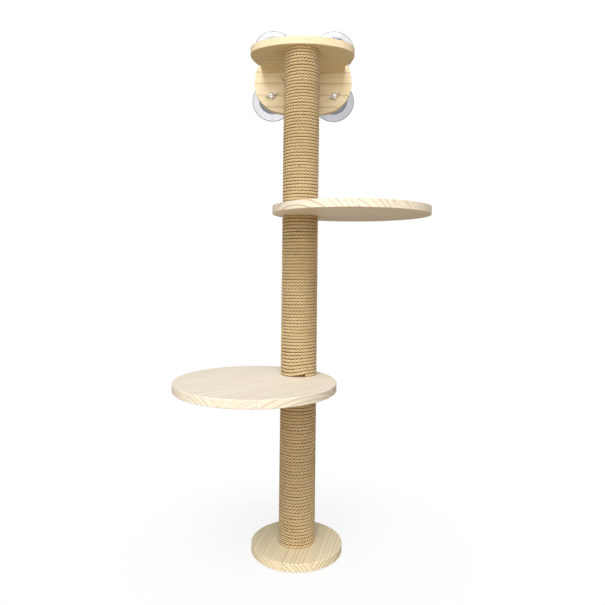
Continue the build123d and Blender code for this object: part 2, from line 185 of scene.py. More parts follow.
def make_grown_boards():
    """Edge-glued boards with growth rings right through the wood: grain along X, faces along Z."""
    group, given, made = new_effect(
        "grown_boards",
        [
            ("Vector", "NodeSocketVector", None),
            ("Board Width", "NodeSocketFloat", 0.055),
            ("Shift", "NodeSocketFloat", 0.0),
            ("Luck", "NodeSocketFloat", 0.0),
            ("Close Rings", "NodeSocketFloat", 0.0025),
            ("Wide Rings", "NodeSocketFloat", 0.013),
            ("Pith Across", "NodeSocketFloat", 0.06),
            ("Pith Depth", "NodeSocketFloat", 0.05),
            ("Wander", "NodeSocketFloat", 0.003),
        ],
        [
            ("Late", "NodeSocketFloat"),
            ("Fibre", "NodeSocketFloat"),
            ("Board", "NodeSocketFloat"),
            ("Seam", "NodeSocketFloat"),
        ],
    )
    spot = add(group, "ShaderNodeSeparateXYZ", {0: given["Vector"]}).outputs
    row = plus(group, maths(group, "DIVIDE", spot["Y"], given["Board Width"]), given["Shift"])
    board = maths(group, "FLOOR", row)
    within = minus(group, maths(group, "FRACT", row), 0.5)
    across = times(group, within, given["Board Width"])
    leaning = maths(group, "GREATER_THAN", own_chance(group, board, given["Luck"], 0), 0.5)
    side = minus(group, times(group, leaning, 2), 1)
    depth_luck = own_chance(group, board, given["Luck"], 1)
    ring_luck = own_chance(group, board, given["Luck"], 2)
    pith_y = times(group, given["Pith Across"], between(group, depth_luck, 0, 1, 1.3, 0.7))
    pith_y = times(group, pith_y, side)
    pith_z = times(group, given["Pith Depth"], between(group, depth_luck, 0, 1, -0.7, -1.3))
    off_y = minus(group, across, pith_y)
    off_z = minus(group, spot["Z"], pith_z)
    squares = plus(group, maths(group, "POWER", off_y, 2), maths(group, "POWER", off_z, 2))
    reach = maths(group, "SQRT", squares)
    along = add(group, "ShaderNodeCombineXYZ", {0: times(group, spot["X"], 1.6)})
    along_y = times(group, spot["Y"], 9)
    group.links.new(plus(group, along_y, times(group, board, 3.7)), along.inputs[1])
    group.links.new(times(group, spot["Z"], 9), along.inputs[2])
    sway = minus(group, noise(group, along.outputs[0], 1.6), 0.5)
    reach = plus(group, reach, times(group, sway, given["Wander"]))
    spread = minus(group, given["Wide Rings"], given["Close Rings"])
    spacing = plus(group, times(group, spread, ring_luck), given["Close Rings"])
    years = maths(group, "DIVIDE", reach, spacing)
    single = {"noise_dimensions": "1D"}
    season = add(group, "ShaderNodeTexNoise", {"W": years, "Scale": 0.45}, **single).outputs["Fac"]
    years = plus(group, years, times(group, season, 1.8))
    year = maths(group, "FRACT", years)
    rise = between(group, year, 0.62, 0.94)
    fall = between(group, year, 0.955, 0.995, 1.0, 0.0)
    late = times(group, maths(group, "POWER", rise, 2.0), fall)
    whole_years = maths(group, "FLOOR", years)
    age = add(group, "ShaderNodeTexWhiteNoise", {"W": whole_years}, **single)
    late = times(group, late, between(group, age.outputs["Value"], 0, 1, 0.35, 1.0))
    group.links.new(late, made["Late"])
    fibre = stretched_noise(group, given["Vector"], (30, 1300, 1300), 3.0, 0.6)
    group.links.new(fibre, made["Fibre"])
    group.links.new(own_chance(group, board, given["Luck"], 3), made["Board"])
    edge = minus(group, 0.5, maths(group, "ABSOLUTE", within))
    edge = times(group, edge, given["Board Width"])
    group.links.new(between(group, edge, 0.00012, 0.0004, 1.0, 0.0), made["Seam"])
    return group


def make_mottle():
    """Slow, uneven changes of tone, shared by every material."""
    group, given, made = new_effect(
        "mottle",
        [("Vector", "NodeSocketVector", None), ("Size", "NodeSocketFloat", 0.05)],
        [("Cloud", "NodeSocketFloat")],
    )
    scale = maths(group, "DIVIDE", 1.0, given["Size"])
    cloud = noise(group, given["Vector"], scale, 3.0, 0.55)
    group.links.new(between(group, cloud, 0.32, 0.68), made["Cloud"])
    return group


grown_boards = make_grown_boards()
mottle = make_mottle()


def pine(name, turn, middle, pale, ring, on_face, on_rim, standing=False, **boards):
    """Sanded pine. turn is where its grain points, in degrees from +X, and middle is the height of
    the panel's middle, or how far back it is where the panel stands. The growth rings show on its
    faces and its rim by the two shares."""
    material, tree, shader = new_material(name, roughness=0.55, specular_ior_level=0.35)
    lie = (math.pi / 2, 0, 0) if standing else (0, 0, -math.radians(turn))
    inputs = {"Vector": own_place(tree), "Rotation": lie, "Location": (0, 0, -middle)}
    wood = add(tree, "ShaderNodeMapping", inputs, vector_type="POINT").outputs[0]
    grown = effect(tree, grown_boards, vector=wood, **boards)
    tone = effect(tree, mottle, vector=scaled(tree, wood, (0.3, 1, 1)), size=0.05)
    colour = tinted(tree, grown["Board"], pale[0], pale[1])
    colour = tinted(tree, times(tree, tone["Cloud"], 0.5), colour, pale[2])
    normal = tree.nodes.new("ShaderNodeTexCoord").outputs["Normal"]
    outward = add(tree, "ShaderNodeSeparateXYZ", {0: normal})
    square_on = maths(tree, "ABSOLUTE", outward.outputs["Y" if standing else "Z"])
    rings = between(tree, square_on, 0.2, 0.8, on_rim, on_face)
    colour = tinted(tree, times(tree, grown["Late"], rings), colour, ring)
    streak = between(tree, grown["Fibre"], 0.5, 0.72, 0.0, 0.14)
    colour = tinted(tree, streak, colour, ring)
    colour = tinted(tree, times(tree, grown["Seam"], 0.3), colour, srgb(150, 116, 78))
    tree.links.new(colour, shader.inputs["Base Color"])
    rough = between(tree, grown["Late"], 0, 1, 0.6, 0.42)
    tree.links.new(rough, shader.inputs["Roughness"])
    relief = plus(tree, times(tree, grown["Late"], 0.5), grown["Fibre"])
    bumped(tree, shader, relief, distance=0.00012, strength=0.35)
    return material


def jute():
    """Three-strand jute rope, from the winding's own map: metres along it and round it."""
    material, tree, shader = new_material(
        "jute_rope", roughness=0.9, specular_ior_level=0.15, sheen_weight=0.2, sheen_roughness=0.6
    )
    laid = add(tree, "ShaderNodeUVMap", uv_map="laid").outputs[0]
    crease_shade, strand, tucked_shade, cut = (
        mark(tree, name) for name in ("crease_shade", "strand", "tucked_shade", "cut")
    )
    place = own_place(tree)
    tone = effect(tree, mottle, vector=place, size=0.03)
    fibre = stretched_noise(tree, laid, (90, 2600, 1), 3.0, 0.65)
    tuft = stretched_noise(tree, laid, (70, 380, 1), 2.0, 0.6)
    along = add(tree, "ShaderNodeSeparateXYZ", {0: laid}).outputs["X"]
    yarn_inputs = {0: times(tree, along, 18), 1: times(tree, strand, 31)}
    yarn_place = add(tree, "ShaderNodeCombineXYZ", yarn_inputs)
    yarn = noise(tree, yarn_place.outputs[0], 1.0, 2.0)
    colour = tinted(tree, between(tree, yarn, 0.3, 0.7), JUTE_DULL, JUTE_PALE)
    colour = tinted(tree, times(tree, tone["Cloud"], 0.5), colour, JUTE_OLIVE)
    colour = tinted(tree, between(tree, fibre, 0.45, 0.75, 0.0, 0.5), colour, JUTE_BROWN)
    colour = tinted(tree, between(tree, fibre, 0.28, 0.4, 0.4, 0.0), colour, JUTE_BRIGHT)
    colour = tinted(tree, between(tree, tuft, 0.64, 0.74, 0.0, 0.75), colour, JUTE_DARK)
    # Painted shade where the rope turns up, down or in, between its turns and against the post
    colour = tinted(tree, between(tree, tucked_shade, 0.2, 0.9, 0.0, 0.75), colour, JUTE_SHADE_AND_DARK_FIBRE)
    # Painted shade, deepest in the creases between the strands
    colour = tinted(tree, between(tree, crease_shade, 0.05, 0.75, 0.0, 0.85), colour, JUTE_SHADE_AND_DARK_FIBRE)
    colour = tinted(tree, cut, colour, JUTE_CUT)
    tree.links.new(colour, shader.inputs["Base Color"])
    relief = plus(tree, fibre, times(tree, tuft, 0.5))
    bumped(tree, shader, relief, distance=0.0004, strength=0.8)
    return material


def stray_jute():
    """Single fibres that stand off the rope, darker and lighter by turns."""
    material, tree, shader = new_material(
        "stray_jute_fibres", roughness=0.8, specular_ior_level=0.2
    )
    place = own_place(tree)
    tone = effect(tree, mottle, vector=place, size=0.012)
    streak = stretched_noise(tree, place, (900, 900, 900), 2.0)
    colour = tinted(tree, tone["Cloud"], JUTE_SHADE_AND_DARK_FIBRE, JUTE_BROWN)
    colour = tinted(tree, between(tree, streak, 0.4, 0.6, 0, 0.6), colour, JUTE_DARK)
    tree.links.new(colour, shader.inputs["Base Color"])
    bumped(tree, shader, streak, distance=0.0001, strength=0.4)
    return material


def kraft():
    """Spirally wound kraft tube."""
    material, tree, shader = new_material("kraft_tube", roughness=0.85, specular_ior_level=0.2)
    place = own_place(tree)
    tone = effect(tree, mottle, vector=place, size=0.03)
    pulp = stretched_noise(tree, place, (900, 900, 900), 3.0)
    colour = tinted(tree, tone["Cloud"], srgb(122, 92, 62), srgb(138, 106, 74))
    colour = tinted(tree, between(tree, pulp, 0.5, 0.7, 0, 0.4), colour, srgb(92, 66, 42))
    tree.links.new(colour, shader.inputs["Base Color"])
    bumped(tree, shader, pulp, distance=0.0001, strength=0.4)
    return material


def beech():
    """Turned beech with its short flecks."""
    material, tree, shader = new_material("turned_beech", roughness=0.6, specular_ior_level=0.3)
    place = own_place(tree)
    fleck = stretched_noise(tree, place, (700, 700, 160), 2.0)
    tone = effect(tree, mottle, vector=place, size=0.02)
    colour = tinted(tree, tone["Cloud"], srgb(205, 164, 122), srgb(190, 146, 104))
    colour = tinted(tree, between(tree, fleck, 0.55, 0.7, 0, 0.5), colour, srgb(150, 106, 68))
    tree.links.new(colour, shader.inputs["Base Color"])
    bumped(tree, shader, fleck, distance=0.00008, strength=0.4)
    return material


def foam():
    """Closed-cell foam pad."""
    material, tree, shader = new_material("eva_foam", roughness=0.9, specular_ior_level=0.2)
    place = own_place(tree)
    inputs = {"Vector": place, "Scale": 1400.0}
    cells = add(tree, "ShaderNodeTexVoronoi", inputs).outputs["Distance"]
    tone = effect(tree, mottle, vector=place, size=0.02)
    colour = tinted(tree, tone["Cloud"], srgb(38, 37, 36), srgb(52, 50, 48))
    tree.links.new(colour, shader.inputs["Base Color"])
    bumped(tree, shader, cells, distance=0.0003, strength=0.6)
    return material


def plated(name, bright, dull, roughness):
    """Plated metal with fine rubbing marks and slightly clouded patches."""
    material, tree, shader = new_material(name, metallic=1.0)
    place = own_place(tree)
    tone = effect(tree, mottle, vector=place, size=0.008)
    marks = stretched_noise(tree, place, (2600, 500, 2600), 3.0)
    colour = tinted(tree, tone["Cloud"], bright, dull)
    tree.links.new(colour, shader.inputs["Base Color"])
    worn = plus(tree, between(tree, marks, 0.35, 0.7, 0.0, 0.16), roughness)
    tree.links.new(worn, shader.inputs["Roughness"])
    bumped(tree, shader, marks, distance=0.00003, strength=0.3)
    return material


def clear_pvc():
    """Soft clear plastic: greyer where it is seen edge on, with faint flow marks, and with painted
    dark rings from its thick mark, which are painted shade and a painted outline at the lip, not
    thickness.
    """
    material, tree, shader = new_material(
        "clear_pvc", roughness=0.14, transmission_weight=1.0, ior=1.42, specular_ior_level=0.5
    )
    place = own_place(tree)
    tone = effect(tree, mottle, vector=place, size=0.016)
    thick = mark(tree, "thick")
    clear = tinted(tree, tone["Cloud"], srgb(247, 248, 250), srgb(238, 239, 242))
    # Painted darkness from the thick mark: painted shade in a ring, and a painted outline at the
    # lip
    colour = tinted(tree, thick, clear, srgb(84, 86, 98))
    # Partly the longer path through the plastic and partly a painted dark outline, standing in for
    # the darker surroundings seen through the cup's edges
    edge_on = add(tree, "ShaderNodeLayerWeight", {"Blend": 0.35}).outputs["Facing"]
    colour = tinted(tree, between(tree, edge_on, 0.3, 0.9), colour, srgb(96, 99, 116))
    tree.links.new(colour, shader.inputs["Base Color"])
    flow = noise(tree, place, 90.0, 1.0)
    bumped(tree, shader, flow, distance=0.0004, strength=0.02)
    return material


# Each wood: one board's tone, another board's, and the tone of its clouds
CREAM = (srgb(251, 243, 226), srgb(246, 236, 216), srgb(242, 229, 206))
FOOT_TONE = (srgb(253, 242, 209), srgb(250, 236, 200), srgb(246, 229, 191))
PLATFORM_TONE = (srgb(246, 232, 198), srgb(242, 226, 190), srgb(238, 218, 178))
BOARD_TONE = (srgb(252, 240, 206), srgb(248, 233, 196), srgb(240, 220, 176))
RING = srgb(176, 142, 98)
FOOT_RING = srgb(128, 82, 44)
JUTE_PALE = srgb(249, 225, 177)
JUTE_DULL = srgb(232, 202, 149)
JUTE_OLIVE = srgb(216, 194, 138)
JUTE_BROWN = srgb(190, 150, 100)
JUTE_BRIGHT = srgb(255, 243, 212)
JUTE_DARK = srgb(104, 70, 38)
# Painted shade in the rope's creases and between its turns, and the dark tone of the loose fibres
JUTE_SHADE_AND_DARK_FIBRE = srgb(96, 58, 22)
JUTE_CUT = srgb(158, 104, 58)

# Heights of the panels' middles, and how far back the standing board's is
LOWER_SHELF_MIDDLE = 0.3345
UPPER_SHELF_MIDDLE = 0.6595
FOOT_MIDDLE = 0.0095
PLATFORM_MIDDLE = 0.9845
BOARD_MIDDLE = 0.125

lower_pine = pine(
    "pine_lower_shelf", 45, LOWER_SHELF_MIDDLE, CREAM, RING, on_face=0.4, on_rim=0.75,
    shift=0.0, luck=64.865, wide_rings=0.009,
)
upper_pine = pine(
    "pine_upper_shelf", -45, UPPER_SHELF_MIDDLE, CREAM, RING, on_face=0.5, on_rim=1.0,
    shift=1.09, luck=63.575, wide_rings=0.011,
)
foot_pine = pine(
    "pine_foot", 78, FOOT_MIDDLE, FOOT_TONE, FOOT_RING, on_face=0.6, on_rim=1.0,
    shift=0.873, luck=143.62, wide_rings=0.0085,
)
platform_pine = pine(
    "pine_platform", 0, PLATFORM_MIDDLE, PLATFORM_TONE, RING, on_face=0.5, on_rim=0.2,
    shift=0.3, luck=3.1, pith_depth=0.09,
)
board_pine = pine(
    "pine_board", 0, BOARD_MIDDLE, BOARD_TONE, RING, on_face=0.7, on_rim=0.7, standing=True,
    shift=0.6, luck=5.3, pith_depth=0.09,
)
rope_finish = jute()
stray_finish = stray_jute()
tube_finish = kraft()
beech_finish = beech()
foam_finish = foam()
nickel = plated("nickel_plate", srgb(236, 235, 230), srgb(198, 198, 190), 0.3)
# The washers' plate is darker and browner than the nuts', so that they read as the shaded ring
# round each nut: painted shade
washer_nickel = plated("washer_plate", srgb(194, 182, 152), srgb(168, 156, 130), 0.55)
zinc = plated("zinc_plate", srgb(226, 228, 230), srgb(190, 192, 194), 0.3)
insert_zinc = plated("insert_zinc", srgb(186, 184, 176), srgb(150, 148, 140), 0.36)
pvc = clear_pvc()

# The finish of each node of the construction model, by a word in its name
FINISHES = {
    "foot_pad": foam_finish,
    "foot_disc": foot_pine,
    "lower_shelf": lower_pine,
    "upper_shelf": upper_pine,
    "top_platform": platform_pine,
    "back_board": board_pine,
    "core_tube": tube_finish,
    "plug": beech_finish,
    "platform_dowels": beech_finish,
    "threaded_inserts": insert_zinc,
    "wing_nut": nickel,
    "washer_": washer_nickel,
    "suction_cup": pvc,
    "rope": rope_finish,
}


def finish_cad_nodes():
    """Gives every node of the construction model its own finish, zinc where none is named."""
    for name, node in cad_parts.items():
        chosen = [finish for word, finish in FINISHES.items() if word in name]
        node.data.materials.clear()
        node.data.materials.append(chosen[0] if chosen else zinc)


finish_cad_nodes()


# The rope in metres: its width off the post and up it, and how far out its middle line runs
ROPE_ACROSS = 0.0055
ROPE_TALL = 0.0062
ROPE_LINE_RADIUS = 0.03285
SECTION_LENGTH = 0.31
ROPE_END_GAP = 0.0003
ROPE_PITCH = 0.006
# The length in which the strands turn once about the rope
ROPE_LAY = 0.019
STRANDS = 3
HALF_STRAND = 180 / STRANDS
# Where a strand's outline has its points, in degrees from the strand's middle
STRAND_SPOTS = (-60, -45, -25, 0, 25, 45)
STRAND_SHARE = 0.52
STEPS_PER_LAY = 10
# At a panel the rope lies flat on it and steps up over this share of each turn
STEP_UP_SHARE = 0.14
SETTLING_TURNS = 9
# How far the rope strays: in height and radius in metres, in lays, and as a share of its size
HEIGHT_STRAY = 0.0002
RADIUS_STRAY = 0.00012
TWIST_STRAY = 0.3
SIZE_STRAY = 0.03
# How many waves a turn these have in height and radius, and how many rings a wave in the others
HEIGHT_WAVES = 3
RADIUS_WAVES = 4
TWIST_RINGS = 30
SIZE_RINGS = 12
# How much of its own twist the rope's map takes out, so that fibres run along the strands
MAP_UNTWIST = 0.35
# A point is painted darker, as shade between the turns and against the post, as the cosine of its
# direction off the post falls from this to 0
TUCKED_BELOW = 0.8


def slow_drift(count, spread, waves, luck):
    """A random wander over count steps, of at most spread either way, with so many waves."""
    knots = luck.uniform(-1, 1, waves + 1)
    return spread * np.interp(np.linspace(0, waves, count), np.arange(waves + 1), knots)


def climb(turn):
    """Pitches climbed from a panel: with a short step up each turn at first, then evenly."""
    part = turn - np.floor(turn)
    stepping = np.clip((part - 1 + STEP_UP_SHARE) / STEP_UP_SHARE, 0, 1)
    settled = np.clip(turn / SETTLING_TURNS, 0, 1)
    return (1 - settled) * (np.floor(turn) + stepping) + settled * turn


def rope_line(low, high, start, luck):
    """Points down the middle of a winding from its low end to its high end."""
    first = low + ROPE_END_GAP + ROPE_ACROSS / 2
    last = high - ROPE_END_GAP - ROPE_ACROSS / 2
    turns = (last - first) / ROPE_PITCH
    length = turns * math.hypot(2 * math.pi * ROPE_LINE_RADIUS, ROPE_PITCH)
    count = int(length / ROPE_LAY * STEPS_PER_LAY)
    turn = np.linspace(0, turns, count)
    angle = start + 2 * math.pi * turn
    climbed = np.where(turn < turns / 2, climb(turn), turns - climb(turns - turn))
    calm = np.clip(np.minimum(turn, turns - turn) - 1, 0, 1)
    height_stray = slow_drift(count, HEIGHT_STRAY, int(turns * HEIGHT_WAVES), luck)
    height = first + ROPE_PITCH * climbed + calm * height_stray
    radius_stray = slow_drift(count, RADIUS_STRAY, int(turns * RADIUS_WAVES), luck)
    radius = ROPE_LINE_RADIUS + calm * radius_stray
    line = np.stack([radius * np.cos(angle), radius * np.sin(angle), height], 1)
    return line, angle, length


def lobed_section():
    """The rope's outline round its middle: (angle, radius, crease shade, strand) for each spot,
    where the crease shade is how much painted shade the spot gets for lying deep in a crease
    between strands.
    """
    spots = []
    for strand in range(STRANDS):
        for spot in STRAND_SPOTS:
            off = 1 - STRAND_SHARE
            turn = math.radians(spot)
            aside = off * math.sin(turn)
            reach = off * math.cos(turn) + math.sqrt(STRAND_SHARE**2 - aside**2)
            # Painted shade, strongest deep in the creases between strands
            crease_shade = (abs(spot) / HALF_STRAND) ** 3
            spots.append((math.radians(2 * HALF_STRAND * strand) + turn, reach, crease_shade, strand))
    return np.array(spots)


def marked(mesh, name, values):
    """Stores a number for each of a mesh's points, for its material."""
    stored = mesh.attributes.new(name, "FLOAT", "POINT")
    stored.data.foreach_set("value", np.asarray(values).astype(np.float32).ravel())


def wind_rope(name, node, body, start_degrees, seed):
    """One section's rope as a single laid rope, wound from the bottom of the section to its top."""
    luck = np.random.RandomState(seed)
    box_low, box_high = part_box(node)
    middle = (box_low.z + box_high.z) / 2
    start = math.radians(start_degrees)
    half = SECTION_LENGTH / 2
    line, angle, length = rope_line(middle - half, middle + half, start, luck)
    section = lobed_section()
    rings, around = len(line), len(section)
    outward = np.stack([np.cos(angle), np.sin(angle), np.zeros(rings)], 1)
    upward = np.array([0, 0, 1.0])
    metres = np.linspace(0, length, rings)
    lays = metres / ROPE_LAY + slow_drift(rings, TWIST_STRAY, rings // TWIST_RINGS, luck)
    twist = 2 * math.pi * lays
    face = twist[:, None] + section[None, :, 0]
    fullness = 1 + slow_drift(rings, SIZE_STRAY, rings // SIZE_RINGS, luck)
    size = section[None, :, 1] * fullness[:, None]
    out = np.cos(face) * size * ROPE_ACROSS / 2
    up = np.sin(face) * size * ROPE_TALL / 2
    points = line[:, None, :] + out[..., None] * outward[:, None, :] + up[..., None] * upward
    points = points.reshape(-1, 3)
    ring = np.arange(rings - 1)[:, None] * around
    spot = np.arange(around)[None, :]
    nxt = (spot + 1) % around
    corners = [ring + spot, ring + nxt, ring + around + nxt, ring + around + spot]
    quads = np.stack(corners, 2).reshape(-1, 4)
    faces = quads[:, ::-1].tolist()
    faces.append(list(range(around)))
    faces.append(list(range((rings - 1) * around, rings * around))[::-1])
    mesh = bpy.data.meshes.new(name)
    mesh.from_pydata(points.tolist(), [], faces)
    # Marks for the material: painted crease shade, the strand, painted shade between the turns, and
    # the cut ends
    marked(mesh, "crease_shade", np.tile(section[:, 2], rings))
    marked(mesh, "strand", np.tile(section[:, 3], rings))
    # How much painted shade each point gets between the turns
    marked(mesh, "tucked_shade", np.clip(1 - np.cos(face) / TUCKED_BELOW, 0, 1))
    at_ends = np.zeros((rings, around))
    at_ends[[0, -1]] = 1
    marked(mesh, "cut", at_ends)
    loops = np.zeros(len(mesh.loops), np.int32)
    mesh.loops.foreach_get("vertex_index", loops)
    laid_along = metres[loops // around]
    facing = face.reshape(-1)[loops] - MAP_UNTWIST * twist[loops // around]
    laid_round = facing * ROPE_ACROSS / 2
    laid = mesh.uv_layers.new(name="laid")
    spots = np.stack([laid_along, laid_round], 1).astype(np.float32)
    laid.data.foreach_set("uv", spots.ravel())
    mesh.polygons.foreach_set("use_smooth", np.ones(len(mesh.polygons), bool))
    mesh.materials.append(rope_finish)
    mesh.update()
    piece = bpy.data.objects.new(name, mesh)
    scene.collection.objects.link(piece)
    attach(piece, body)
    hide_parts(node)


wind_rope("lower_jute_winding", "lower_rope", "frame", -150, 11)
wind_rope("middle_jute_winding", "middle_rope", "frame", -67, 12)
wind_rope("upper_jute_winding", "upper_rope", "frame", 136, 13)


def nothing_selected():
    bpy.ops.object.select_all(action="DESELECT")


def only(piece):
    nothing_selected()
    piece.select_set(True)
    bpy.context.view_layer.objects.active = piece


def apply_transform():
    bpy.ops.object.transform_apply(location=True, rotation=True, scale=True)


def editing(piece):
    """Opens a piece for editing, with all of its points selected."""
    only(piece)
    bpy.ops.object.mode_set(mode="EDIT")
    bpy.ops.mesh.select_mode(type="VERT")
    bpy.ops.mesh.select_all(action="SELECT")


def turned(name, outline, around, closed=False):
    """A turned piece on the +Z axis, drawn up ring by ring through (radius, height) steps in mm."""
    nothing_selected()
    outline = [(radius / 1000, height / 1000) for radius, height in outline]
    radius, height = outline[0]
    bpy.ops.mesh.primitive_circle_add(vertices=around, radius=radius, location=(0, 0, height))
    piece = bpy.context.object
    piece.name = piece.data.name = name
    apply_transform()
    editing(piece)
    for next_radius, next_height in outline[1:]:
        rise = (0, 0, next_height - height)
        bpy.ops.mesh.extrude_region_move(TRANSFORM_OT_translate={"value": rise})
        share = next_radius / radius
        bpy.ops.transform.resize(value=(share, share, 1), center_override=(0, 0, next_height))
        radius, height = next_radius, next_height
    bpy.ops.mesh.select_all(action="SELECT")
    if closed:
        bpy.ops.mesh.remove_doubles(threshold=0.000001)
    else:
        bpy.ops.mesh.fill_holes(sides=0)
    bpy.ops.mesh.select_all(action="SELECT")
    bpy.ops.mesh.normals_make_consistent(inside=False)
    bpy.ops.object.mode_set(mode="OBJECT")
    return piece


def smoothed(piece, degrees):
    only(piece)
    bpy.ops.object.shade_smooth_by_angle(angle=math.radians(degrees))


def applied(piece, kind, **settings):
    """Adds a modifier to a piece and applies it."""
    only(piece)
    modifier = piece.modifiers.new(kind, kind)
    for label, value in settings.items():
        setattr(modifier, label, value)
    bpy.ops.object.modifier_apply(modifier=modifier.name)


def joined(pieces):
    """Joins pieces into the first of them."""
    only(pieces[0])
    for piece in pieces:
        piece.select_set(True)
    bpy.ops.object.join()
    return pieces[0]


def copied(piece, name):
    """A copy of a piece with a mesh of its own."""
    twin = piece.copy()
    twin.data = piece.data.copy()
    twin.name = twin.data.name = name
    scene.collection.objects.link(twin)
    return twin


def seated(piece, place, lean=(0, 0, 0)):
    """Turns and moves a piece, in its mesh."""
    only(piece)
    piece.rotation_euler = lean
    piece.location = place
    apply_transform()


def finished(piece, finish, body, slot, *nodes):
    piece.data.materials.clear()
    piece.data.materials.append(finish)
    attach(piece, body)
    if nodes:
        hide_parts(*nodes)


def thrown_away(piece):
    bpy.data.objects.remove(piece, do_unlink=True)


# Outlines are (radius, height) in mm, measured from the face that the piece sits on
CUP_OUTLINE = [
    (0.4, 8.05), (8.05, 8.05), (8.05, 5.0), (3.05, 5.0), (3.05, 0.0), (11.3, 0.0),
    (12.0, 0.7), (12.0, 4.6), (12.5, 5.3), (16.0, 7.0), (21.0, 9.3), (26.0, 11.4),
    (30.0, 12.9), (32.0, 13.5), (32.7, 14.1), (33.2, 15.2), (34.0, 15.9), (35.0, 16.2),
    (38.0, 17.2), (41.0, 18.2), (44.0, 19.2), (45.3, 19.65), (45.9, 20.1), (46.0, 20.6),
    (45.8, 20.9), (45.3, 21.0), (44.0, 21.0), (43.6, 20.9), (41.0, 20.3), (37.5, 19.4),
    (34.0, 18.5), (32.0, 18.0), (28.0, 16.7), (22.0, 14.4), (16.0, 12.1), (12.0, 10.55),
    (6.0, 10.5), (0.4, 10.5),
]
# How dark each cup is painted, from 0 to 1, by distance from the cup's axis in mm: the ring at 24
# to 31 mm is painted shade standing in for the board's shade, and the dark lip from 44.9 mm a
# painted outline
CUP_SHADES = (
    [0, 12, 21, 24, 29.5, 31.0, 32.5, 40.0, 40.6, 41.2, 44.0, 44.9, 46],
    [0.2, 0.2, 0.25, 0.9, 1.0, 0.4, 0.0, 0.0, 0.12, 0.0, 0.0, 0.9, 1.0],
)
# The least painted darkness of each cup, which makes the lower ones darker, the lower right most
CUP_LEAST_DARKNESS = {"lower_left": 0.13, "lower_right": 0.45, "upper_left": 0.0, "upper_right": 0.05}
NUT_OUTLINE = [
    (3.05, 0.0), (6.0, 0.0), (6.45, 0.4), (6.45, 1.4), (6.1, 2.0), (5.3, 6.6),
    (5.0, 7.5), (4.5, 7.95), (3.6, 8.0), (3.05, 7.5), (3.05, 0.0),
]
SCREW_PLACES = (-0.06, 0, 0.06)
BOARD_BACK = 0.1325
BOARD_FRONT = 0.1175
WASHER_THICK = 0.0016
WING_LEAN = math.radians(22)
# Each cup's axis: across and up
CUPS = {
    "lower_left": (-0.068, 0.9245),
    "lower_right": (0.068, 0.9245),
    "upper_left": (-0.068, 1.0365),
    "upper_right": (0.068, 1.0365),
}


def stud_outline():
    """The stud from its head in the cup to its tip, with its rolled thread, in mm."""
    outline = [(0.4, 8.0), (7.6, 8.0), (8.0, 7.6), (8.0, 5.4), (7.6, 5.0), (3.0, 5.0), (3.0, -15.0)]
    for crest in range(14):
        top = -15.3 - crest
        outline += [(2.98, top), (2.98, top - 0.15), (2.6, top - 0.45), (2.6, top - 0.6)]
    return outline + [(2.5, -29.6), (1.9, -30.0), (0.4, -30.0)]


def one_wing():
    """One lobe of a wing nut, drawn out of a small block and rounded."""
    nothing_selected()
    bpy.ops.mesh.primitive_cube_add(size=0.001, location=(0.0042, 0, 0.0040))
    wing = bpy.context.object
    wing.scale = (2.0, 3.4, 6.4)
    apply_transform()
    # Each step's move, and how much the wing's end grows with it
    steps = [
        ((0.0022, 0, 0.0010), (1, 0.85, 1.0)),
        ((0.0024, 0, 0.0016), (1, 1.0, 1.05)),
        ((0.0024, 0, 0.0018), (1, 1.05, 1.1)),
        ((0.0018, 0, 0.0010), (1, 1.0, 0.95)),
        ((0.0010, 0, 0.0002), (1, 0.85, 0.75)),
    ]
    middle = Vector((0.0052, 0, 0.0040))
    bpy.ops.object.mode_set(mode="EDIT")
    bpy.ops.mesh.select_all(action="DESELECT")
    bpy.ops.object.mode_set(mode="OBJECT")
    for face in wing.data.polygons:
        face.select = face.normal.x > 0.9
    bpy.ops.object.mode_set(mode="EDIT")
    bpy.ops.mesh.select_mode(type="FACE")
    for move, size in steps:
        bpy.ops.mesh.extrude_region_move(TRANSFORM_OT_translate={"value": move})
        middle += Vector(move)
        bpy.ops.transform.resize(value=size, center_override=middle)
    bpy.ops.object.mode_set(mode="OBJECT")
    applied(wing, "SUBSURF", levels=2, render_levels=2)
    return wing


def wing_nut_pattern():
    boss = turned("wing_nut_pattern", NUT_OUTLINE, 40, closed=True)
    right = one_wing()
    left = copied(right, "left_wing")
    seated(left, (0, 0, 0), (0, 0, math.pi))
    for wing in (right, left):
        applied(boss, "BOOLEAN", operation="UNION", object=wing, solver="EXACT")
        thrown_away(wing)
    smoothed(boss, 40)
    return boss


def screw_pattern():
    """A countersunk wood screw, head up at z = 0, with a cross recess and a coarse thread."""
    outline = [(0.3, 0.0), (4.15, 0.0), (4.3, -0.15), (2.6, -2.3), (2.2, -3.2), (2.2, -14.0)]
    for crest in range(15):
        top = -14.5 - crest * 2.1
        outline += [(1.6, top), (1.6, top - 0.7), (2.2, top - 1.0), (1.6, top - 1.3)]
    screw = turned("screw_pattern", outline + [(1.3, -47.5), (0.3, -50.0)], 28)
    for across in ((0.0046, 0.001, 0.0034), (0.001, 0.0046, 0.0034)):
        nothing_selected()
        bpy.ops.mesh.primitive_cube_add(size=1, location=(0, 0, 0))
        slot = bpy.context.object
        slot.scale = across
        apply_transform()
        applied(screw, "BOOLEAN", operation="DIFFERENCE", object=slot, solver="EXACT")
        thrown_away(slot)
    smoothed(screw, 40)
    return screw


